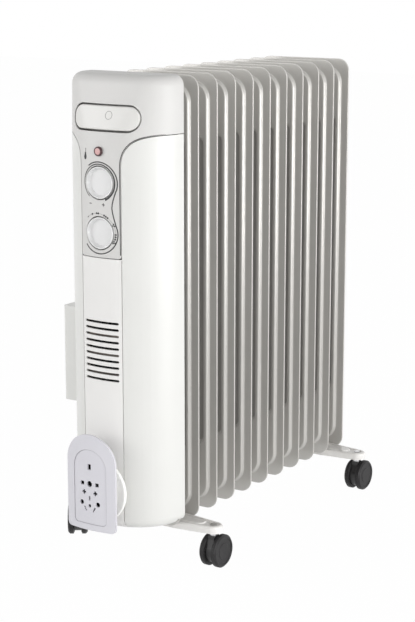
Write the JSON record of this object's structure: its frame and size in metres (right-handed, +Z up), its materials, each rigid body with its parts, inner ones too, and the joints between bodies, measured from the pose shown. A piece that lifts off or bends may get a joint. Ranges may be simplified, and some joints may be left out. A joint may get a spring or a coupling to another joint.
{
  "type": "oil filled radiator heater",
  "caption": "Free-standing oil filled radiator with pressed fins, a front control box with dials and flip handle, a cord winder and swivelling casters.",
  "frame": {"origin": "On the floor, below the middle of the fins' width in X and the middle of the bounding box in Y", "axes": "+X to the right seen from the front, +Y to the back along the row of fins, +Z up; the control box faces -Y"},
  "size_m": [0.2622, 0.5326, 0.6387],
  "materials": {
    "fin_paint": "satin warm grey paint",
    "fascia_silver": "silver satin plastic",
    "cover_white": "glossy warm white plastic",
    "handle_silver": "silver satin plastic",
    "knob_silver": "pale silver gloss plastic",
    "lamp_red": "translucent red lens",
    "plate_grey": "satin lavender grey plastic",
    "spool_white": "white plastic",
    "foot_paint": "pale grey paint on pressed steel",
    "wheel_black": "black moulded plastic",
    "black_plastic": "black moulded plastic",
    "dark_plastic": "dark moulded plastic",
    "steel": "bright zinc plated steel",
    "element_metal": "heat-tinted steel",
    "shield_metal": "plain sheet metal"
  },
  "bodies": {
    "heater": {"fin_01": "fin_paint", "fin_02": "fin_paint", "fin_03": "fin_paint", "fin_04": "fin_paint", "fin_05": "fin_paint", "fin_06": "fin_paint", "fin_07": "fin_paint", "fin_08": "fin_paint", "fin_09": "fin_paint", "fin_10": "fin_paint", "fin_11": "fin_paint", "front_fascia": "fascia_silver", "centre_panel": "fascia_silver", "left_cover": "cover_white", "right_cover": "cover_white", "side_housing": "cover_white", "handle_pocket": "dark_plastic", "handle_pins": "steel", "indicator_lamp": "lamp_red", "thermostat_switch": "dark_plastic", "selector_switch": "dark_plastic", "thermal_cutout": "dark_plastic", "terminal_strip": "spool_white", "cord_gland": "black_plastic", "winder_spool": "spool_white", "winder_plate": "plate_grey", "fan_frame": "steel", "fan_motor": "dark_plastic", "fan_heater": "element_metal", "heating_element": "element_metal", "element_flange": "steel", "filler_plug": "steel", "heat_shield": "shield_metal", "cover_screws": "steel", "front_foot": "foot_paint", "rear_foot": "foot_paint", "u_bolts": "steel", "wing_nuts": "steel"},
    "handle": {"handle_grip": "handle_silver"},
    "thermostat": {"thermostat_knob": "knob_silver", "thermostat_shaft": "steel"},
    "selector": {"selector_knob": "knob_silver", "selector_shaft": "steel"},
    "fan": {"fan_wheel": "black_plastic"},
    "front_left_caster": {"front_left_caster_fork": "black_plastic", "front_left_caster_pins": "steel"},
    "front_left_caster_left": {"front_left_caster_left_wheel": "wheel_black"},
    "front_left_caster_right": {"front_left_caster_right_wheel": "wheel_black"},
    "front_right_caster": {"front_right_caster_fork": "black_plastic", "front_right_caster_pins": "steel"},
    "front_right_caster_left": {"front_right_caster_left_wheel": "wheel_black"},
    "front_right_caster_right": {"front_right_caster_right_wheel": "wheel_black"},
    "rear_left_caster": {"rear_left_caster_fork": "black_plastic", "rear_left_caster_pins": "steel"},
    "rear_left_caster_left": {"rear_left_caster_left_wheel": "wheel_black"},
    "rear_left_caster_right": {"rear_left_caster_right_wheel": "wheel_black"},
    "rear_right_caster": {"rear_right_caster_fork": "black_plastic", "rear_right_caster_pins": "steel"},
    "rear_right_caster_left": {"rear_right_caster_left_wheel": "wheel_black"},
    "rear_right_caster_right": {"rear_right_caster_right_wheel": "wheel_black"}
  },
  "joints": [
    {"name": "handle_swing", "type": "hinge", "parent": "heater", "child": "handle", "pos_m": [0, -0.21375, 0.589], "axis": [-1, 0, 0], "range_deg": [0, 45]},
    {"name": "thermostat_turn", "type": "hinge", "parent": "heater", "child": "thermostat", "pos_m": [0, -0.22665, 0.5066], "axis": [0, 1, 0], "range_deg": [0, 270]},
    {"name": "selector_turn", "type": "hinge", "parent": "heater", "child": "selector", "pos_m": [0, -0.22665, 0.4435], "axis": [0, 1, 0], "range_deg": [0, 225]},
    {"name": "fan_spin", "type": "hinge", "parent": "heater", "child": "fan", "pos_m": [0, -0.20625, 0.25], "axis": [0, 0, 1], "continuous": true},
    {"name": "front_left_caster_swivel", "type": "hinge", "parent": "heater", "child": "front_left_caster", "pos_m": [-0.112, -0.14875, 0.044], "axis": [0, 0, 1], "continuous": true},
    {"name": "front_left_caster_left_roll", "type": "hinge", "parent": "front_left_caster", "child": "front_left_caster_left", "pos_m": [-0.12282, -0.14881, 0.022], "axis": [0.829, 0.5592, 0], "continuous": true},
    {"name": "front_left_caster_right_roll", "type": "hinge", "parent": "front_left_caster", "child": "front_left_caster_right", "pos_m": [-0.10789, -0.13874, 0.022], "axis": [0.829, 0.5592, 0], "continuous": true},
    {"name": "front_right_caster_swivel", "type": "hinge", "parent": "heater", "child": "front_right_caster", "pos_m": [0.112, -0.14875, 0.044], "axis": [0, 0, 1], "continuous": true},
    {"name": "front_right_caster_left_roll", "type": "hinge", "parent": "front_right_caster", "child": "front_right_caster_left", "pos_m": [0.103, -0.14275, 0.022], "axis": [1, 0, 0], "continuous": true},
    {"name": "front_right_caster_right_roll", "type": "hinge", "parent": "front_right_caster", "child": "front_right_caster_right", "pos_m": [0.121, -0.14275, 0.022], "axis": [1, 0, 0], "continuous": true},
    {"name": "rear_left_caster_swivel", "type": "hinge", "parent": "heater", "child": "rear_left_caster", "pos_m": [-0.112, 0.23825, 0.044], "axis": [0, 0, 1], "continuous": true},
    {"name": "rear_left_caster_left_roll", "type": "hinge", "parent": "rear_left_caster", "child": "rear_left_caster_left", "pos_m": [-0.121, 0.24425, 0.022], "axis": [1, 0, 0], "continuous": true},
    {"name": "rear_left_caster_right_roll", "type": "hinge", "parent": "rear_left_caster", "child": "rear_left_caster_right", "pos_m": [-0.103, 0.24425, 0.022], "axis": [1, 0, 0], "continuous": true},
    {"name": "rear_right_caster_swivel", "type": "hinge", "parent": "heater", "child": "rear_right_caster", "pos_m": [0.112, 0.23825, 0.044], "axis": [0, 0, 1], "continuous": true},
    {"name": "rear_right_caster_left_roll", "type": "hinge", "parent": "rear_right_caster", "child": "rear_right_caster_left", "pos_m": [0.103, 0.24425, 0.022], "axis": [1, 0, 0], "continuous": true},
    {"name": "rear_right_caster_right_roll", "type": "hinge", "parent": "rear_right_caster", "child": "rear_right_caster_right", "pos_m": [0.121, 0.24425, 0.022], "axis": [1, 0, 0], "continuous": true}
  ]
}
